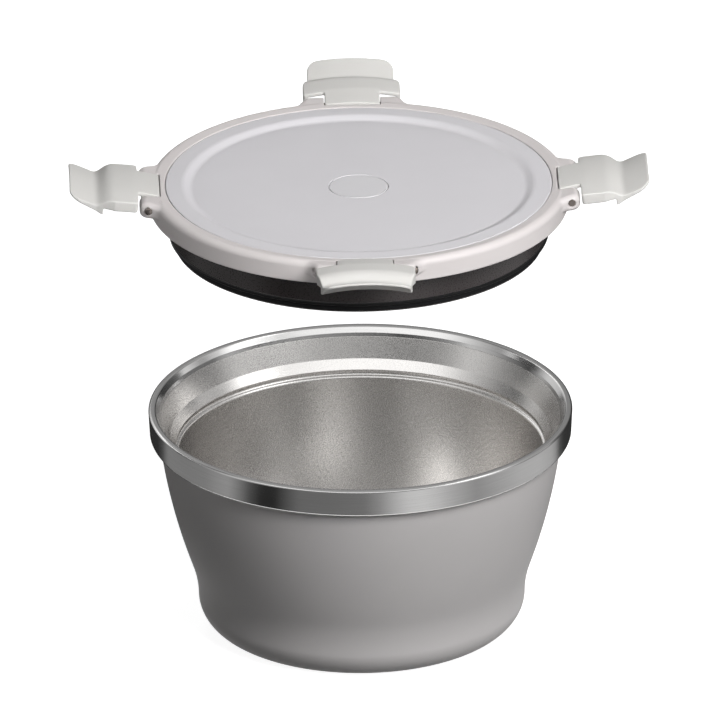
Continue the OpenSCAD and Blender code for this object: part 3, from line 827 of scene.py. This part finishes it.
def latch():
    """The right latch, swung out."""
    body = combine(sector("latch", latch_section()), latch_prism(0), "INTERSECT")
    outer = pin_at + plate_out
    low = -hook_at - hook_t / 2
    flange = sector("flange", [(rim_r + side_clear, -plate_start), (outer - plate_t / 2, -plate_start),
                               (outer - plate_t / 2, -bend_at), (outer - 1.5 * plate_t, low),
                               (rim_r + side_clear, low)])
    combine(flange, latch_prism(0), "INTERSECT")
    combine(flange, latch_prism(side_w, plate_corner), "DIFFERENCE")
    half, neck_out = tongue_w / 2, pin_at + tongue_out - plate_t / 2
    barrel = prism("barrel", circle((pin_at, 0), barrel_r), -half, half, "Y")
    neck = prism("neck", [(pin_at, -barrel_r), (neck_out, -barrel_r), (neck_out, barrel_r),
                          (pin_at, barrel_r)], -half, half, "Y")
    whole = moulded(joined("latch", [body, flange, barrel, neck]), LATCH_GRID, LATCH_SOFTENING)
    bore = prism("bore", circle((pin_at, 0), pin_r + pin_play), -half - OVER, half + OVER, "Y")
    combine(whole, bore, "DIFFERENCE")
    to_pin, back = (Matrix.Translation((x * MM, 0, z * MM)) for x, z in ((-pin_at, 0), (pin_at, pin_z)))
    whole.data.transform(back @ Matrix.Rotation(math.radians(-90 - open_lean), 4, "Y") @ to_pin)
    smooth(whole)
    return whole


# Assembly

paint, liner_steel, band_steel = painted_shell(), satin_steel(), brushed_band()
base_steel = turned_steel("base_steel", (0.5, 0.5, 0.49), 0.4)
pin_steel = turned_steel("pin_steel", (0.30, 0.26, 0.24), 0.16)
getter_steel = turned_steel("getter_steel", (0.55, 0.55, 0.57), 0.45)

# Colour, roughness, and the grain's width and depth
bead_glass = plastic("bead_glass", (0.12, 0.12, 0.13), 0.15, 1, 0.002)
frame_plastic = plastic("frame_plastic", (0.585, 0.55, 0.545), 0.45, 0.35, 0.008)
panel_plastic = plastic("panel_plastic", (0.6, 0.587, 0.608), 0.5, 0.35, 0.008)
disc_plastic = plastic("disc_plastic", (0.602, 0.592, 0.608), 0.42, 0.35, 0.005)
latch_plastic = plastic("latch_plastic", (0.59, 0.58, 0.56), 0.42, 0.35, 0.006)
plug_plastic = plastic("plug_plastic", (0.03, 0.025, 0.025), 0.3, 0.5, 0.004)
foam_plastic = plastic("foam", (0.8, 0.77, 0.66), 0.8, 0.6, 0.05)

dress(outer_shell(), "outer_shell", "bowl", paint)
dress(inner_liner(), "inner_liner", "bowl", liner_steel)
dress(rim_band(), "rim_band", "bowl", band_steel)
dress(base_plate(), "base_plate", "bowl", base_steel)
dress(getter(), "getter", "bowl", getter_steel)
dress(sealing_bead(), "vacuum_seal_bead", "bowl", bead_glass)
dress(lid_frame(), "lid_frame", "lid", frame_plastic)
dress(lid_panel(), "lid_panel", "lid", panel_plastic)
dress(centre_disc(), "centre_disc", "lid", disc_plastic)
dress(lid_plug(), "lid_plug", "lid", plug_plastic)
dress(lid_seal(), "lid_seal", "lid", silicone())
foam = frame["nodes"]["lid_foam"]
foam.data.materials.clear()
foam.data.materials.append(foam_plastic)
foam.visible_glossy = False

SIDES_OF_LID = {"right": 0, "back": 90, "left": 180, "front": 270}
first_pin, first_latch = hinge_pin(), latch()
for side, turn in SIDES_OF_LID.items():
    pin = turned_copy(first_pin, f"pin_{side}", turn)
    dress(pin, f"hinge_pin_{side}", "lid", pin_steel)
    swung = turned_copy(first_latch, f"swing_latch_{side}", turn)
    dress(swung, f"latch_{side}", f"{side}_latch", latch_plastic)
bpy.data.objects.remove(first_pin)
bpy.data.objects.remove(first_latch)


# Studio

# How strongly the reflection cards glow, as (degrees the way round, strength). 0 degrees is the camera's
# side, and 90 is the right. The rim band mirrors the floor card, and the bowl's inside the wall cards.
FLOOR_CARD = [(-180, 0.02), (-128, 0.03), (-121, 0.09), (-115, 0.28), (-96, 0.28), (-82, 0.3),
              (-74, 0.38), (-67, 0.42), (-61, 0.27), (-55, 0.1), (-49, 0.03), (-42, 0.03), (-37, 0.1),
              (-30, 0.2), (-16, 0.21), (0, 0.24), (7, 0.38), (14, 0.64), (20, 0.82), (27, 0.86),
              (34, 0.76), (41, 0.6), (54, 0.4), (61, 0.47), (68, 0.53), (82, 0.63), (96, 0.64),
              (109, 0.54), (114, 0.4), (119, 0.1), (126, 0.04), (180, 0.02)]
FOOT_CARD = [(-180, 0.04), (-165, 0.04), (-150, 0.7), (-131, 0.9), (-112, 0.05), (-95, 0.3),
             (-77, 0.75), (-49, 0.4), (0, 0.2), (25, 0.3), (42, 1.0), (73, 1.0), (90, 0.2),
             (112, 0.22), (140, 0.05), (180, 0.04)]
LOW_CARD = [(-180, 0.3), (-165, 0.8), (-150, 1.2), (-131, 0.8), (-119, 0.08), (-97, 0.08),
            (-82, 0.55), (-68, 0.9), (-58, 0.45), (-48, 0.25), (-26, 0.02), (-10, 0.1), (0, 0.2),
            (24, 0.2), (44, 0.12), (58, 0.12), (73, 0.35), (90, 0.4), (104, 0.5), (117, 1.2),
            (125, 0.3), (131, 0.15), (150, 0.3), (165, 0.3), (180, 0.3)]
MID_CARD = [(-180, 0.5), (-160, 1.6), (-140, 2.8), (-120, 2.4), (-104, 1.2), (-92, 0.4),
            (-83, 0.5), (-60, 0.2), (-26, 0.05), (0, 0.1), (25, 0.6), (42, 2.0), (56, 3.6),
            (72, 3.8), (90, 1.0), (120, 0.2), (150, 0.2), (180, 0.5)]
HIGH_CARD = [(-180, 0.4), (-150, 0.5), (-122, 0.3), (-110, 0.2), (-83, 0.7), (-55, 1.5),
             (-29, 1.5), (0, 1.5), (26, 1.4), (50, 1.0), (64, 1.5), (78, 2.0), (95, 0.8),
             (125, 0.4), (150, 0.5), (180, 0.5)]
PEAK_CARD = [(-180, 0.4), (-150, 0.5), (-122, 0.1), (-110, 0.1), (-83, 0.7), (-55, 1.5),
             (-29, 1.5), (0, 1.5), (26, 1.4), (50, 1.6), (64, 3.6), (82, 4.0), (95, 1.5),
             (125, 0.4), (150, 0.5), (180, 0.5)]
CARD_MOST = 4                                      # strength that a card's curve can reach
CARD_R, CARD_T = 3000, 1                           # the ring of wall cards
CARD_SPLITS = [0, 950, 1550, 1850, 3100, 4500]     # heights between them
FLOOR_CARD_R, FLOOR_CARD_Z, FLOOR_CARD_T = 130, 0.2, 0.1
TOP_GLOW = 0.5

FLOOR_HALF, FLOOR_T, FLOOR_SEEN, FLOOR_PALE, FLOOR_DARK = 9000, 20, 0.92, 0.4, 0.04
AMBIENT = 0.085                                    # the world's light on the object
LAMP_DISTANCE, BEAM_BLEND, BEAM_SIZE = 2.0, 0.35, 0.15    # metres, but for the blend
BOWL_AIM, LID_AIM = Vector((0, 0, 0.13)), Vector((0, 0, 0.225))


def glow_by_azimuth(nodes, links, place, stops):
    """Strength that follows the way round."""
    split = nodes.new("ShaderNodeSeparateXYZ")
    links.new(place, split.inputs["Vector"])
    back = nodes.new("ShaderNodeMath")
    back.operation = "MULTIPLY"
    back.inputs[1].default_value = -1
    links.new(split.outputs["Y"], back.inputs[0])
    turn = nodes.new("ShaderNodeMath")
    turn.operation = "ARCTAN2"
    links.new(split.outputs["X"], turn.inputs[0])
    links.new(back.outputs["Value"], turn.inputs[1])
    curve = nodes.new("ShaderNodeFloatCurve")
    line = curve.mapping.curves[0]
    spots = [(degrees / 360 + 0.5, strength / CARD_MOST) for degrees, strength in stops]
    line.points[0].location, line.points[1].location = spots[0], spots[-1]
    for x, y in spots[1:-1]:
        line.points.new(x, y)
    for point in line.points:
        point.handle_type = "VECTOR"
    curve.mapping.update()
    share = ramp(nodes, links, turn.outputs["Value"], 0, 1, -math.pi, math.pi)
    links.new(share, curve.inputs["Value"])
    return ramp(nodes, links, curve.outputs["Value"], 0, CARD_MOST)


def card(name, outline, stops=None, strength=0.0):
    """A glowing card all round the bowl, which only reflections see."""
    piece = lathe(name, outline, sides=CARD_SIDES)
    material, nodes, links, shader, place = new_material(name, (0, 0, 0), 1, specular=0)
    shader.inputs["Emission Color"].default_value = (1, 1, 1, 1)
    shader.inputs["Emission Strength"].default_value = strength
    if stops:
        links.new(glow_by_azimuth(nodes, links, place, stops), shader.inputs["Emission Strength"])
    piece.data.materials.append(material)
    piece.visible_camera = piece.visible_diffuse = False
    piece.visible_shadow = piece.visible_transmission = False
    piece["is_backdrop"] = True


def backdrop_rays(nodes, links):
    """Two values: 1 for rays from the camera, metal or glass, and 1 for the rays that light things."""
    path = nodes.new("ShaderNodeLightPath")
    seen = path.outputs["Is Camera Ray"]
    for other in ("Is Glossy Ray", "Is Transmission Ray"):
        larger = nodes.new("ShaderNodeMath")
        larger.operation = "MAXIMUM"
        links.new(seen, larger.inputs[0])
        links.new(path.outputs[other], larger.inputs[1])
        seen = larger.outputs["Value"]
    return seen, path.outputs["Is Diffuse Ray"]


def floor():
    """A pale floor, which shows white, keeps the bowl's shadow and throws little light back."""
    corners = [(-FLOOR_HALF, -FLOOR_HALF), (FLOOR_HALF, -FLOOR_HALF), (FLOOR_HALF, FLOOR_HALF),
               (-FLOOR_HALF, FLOOR_HALF)]
    piece = prism("studio_floor", corners, -FLOOR_T, 0)
    pale, dark = (FLOOR_PALE,) * 3, (FLOOR_DARK,) * 3
    material, nodes, links, shader, place = new_material("pale_floor", pale, 0.9, specular=0)
    seen, lighting = backdrop_rays(nodes, links)
    links.new(tinted(nodes, links, lighting, pale, dark), shader.inputs["Base Color"])
    shader.inputs["Emission Color"].default_value = (1, 1, 1, 1)
    links.new(ramp(nodes, links, seen, 0, FLOOR_SEEN), shader.inputs["Emission Strength"])
    piece.data.materials.append(material)
    piece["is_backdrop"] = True


def world():
    """White where the camera looks, and an even dim studio for the light."""
    studio = bpy.data.worlds.new("studio")
    bpy.context.scene.world = studio
    studio.use_nodes = True
    nodes, links = studio.node_tree.nodes, studio.node_tree.links
    back = nodes["Background"]
    seen, _ = backdrop_rays(nodes, links)
    back.inputs["Color"].default_value = (1, 1, 1, 1)
    links.new(ramp(nodes, links, seen, AMBIENT, 1), back.inputs["Strength"])


def aimed(name, data, azimuth, elevation, distance, target, roll=0):
    """A lamp or camera that looks at a place. Azimuth 0 is the camera's side, and 90 is the right."""
    a, e = math.radians(azimuth), math.radians(elevation)
    back = Vector((math.sin(a) * math.cos(e), -math.cos(a) * math.cos(e), math.sin(e)))
    piece = bpy.data.objects.new(name, data)
    piece.location = target + distance * back
    piece.rotation_mode = "QUATERNION"
    turn = Matrix.Rotation(math.radians(roll), 3, back) @ back.to_track_quat("Z", "Y").to_matrix()
    piece.rotation_quaternion = turn.to_quaternion()
    bpy.context.scene.collection.objects.link(piece)
    return piece


def soft_box(name, azimuth, elevation, size, watts):
    """A square lamp that lights the whole object and doesn't show in its metal."""
    data = bpy.data.lights.new(name, "AREA")
    data.shape, data.size, data.energy = "SQUARE", size, watts
    piece = aimed(name, data, azimuth, elevation, LAMP_DISTANCE, BOWL_AIM)
    piece.visible_camera = piece.visible_glossy = False


def beam(name, azimuth, elevation, degrees, watts):
    """A narrow lamp that has only the lid in its beam."""
    data = bpy.data.lights.new(name, "SPOT")
    data.spot_size, data.spot_blend, data.shadow_soft_size = math.radians(degrees), BEAM_BLEND, BEAM_SIZE
    data.energy = watts
    piece = aimed(name, data, azimuth, elevation, LAMP_DISTANCE, LID_AIM)
    piece.visible_camera = piece.visible_glossy = False


def camera():
    """A long lens at the photograph's angle, which sees both the lid and the bowl from above."""
    data = bpy.data.cameras.new("camera")
    data.lens, data.sensor_width = 1274.0, 36
    data.clip_start, data.clip_end = 0.1, 100
    bpy.context.scene.camera = aimed("camera", data, azimuth=-1.6, elevation=23.4, distance=12.0,
                                     target=Vector((0, 0, 0.132)), roll=-0.45)


floor()
world()
low, high = FLOOR_CARD_Z, FLOOR_CARD_Z + FLOOR_CARD_T
card("floor_card", [(FLOOR_CARD_R, high), (CARD_R, high), (CARD_R, low), (FLOOR_CARD_R, low)], FLOOR_CARD)
for i, stops in enumerate([FOOT_CARD, LOW_CARD, MID_CARD, HIGH_CARD, PEAK_CARD]):
    low, high = CARD_SPLITS[i:i + 2]
    sheet = [(CARD_R, low), (CARD_R, high), (CARD_R + CARD_T, high), (CARD_R + CARD_T, low)]
    card(f"wall_card_{i}", sheet, stops)
top = CARD_SPLITS[-1]
card("top_card", [(0, top), (CARD_R, top), (CARD_R, top + CARD_T), (0, top + CARD_T)], strength=TOP_GLOW)
soft_box("key", azimuth=36, elevation=36, size=1.0, watts=53.5)
beam("lid_fill", azimuth=-50, elevation=6, degrees=7.2, watts=70)
soft_box("top", azimuth=0, elevation=82, size=1.4, watts=4)
soft_box("back", azimuth=180, elevation=8, size=0.5, watts=20)
camera()
bpy.context.scene.view_settings.view_transform = "Standard"

low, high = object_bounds()
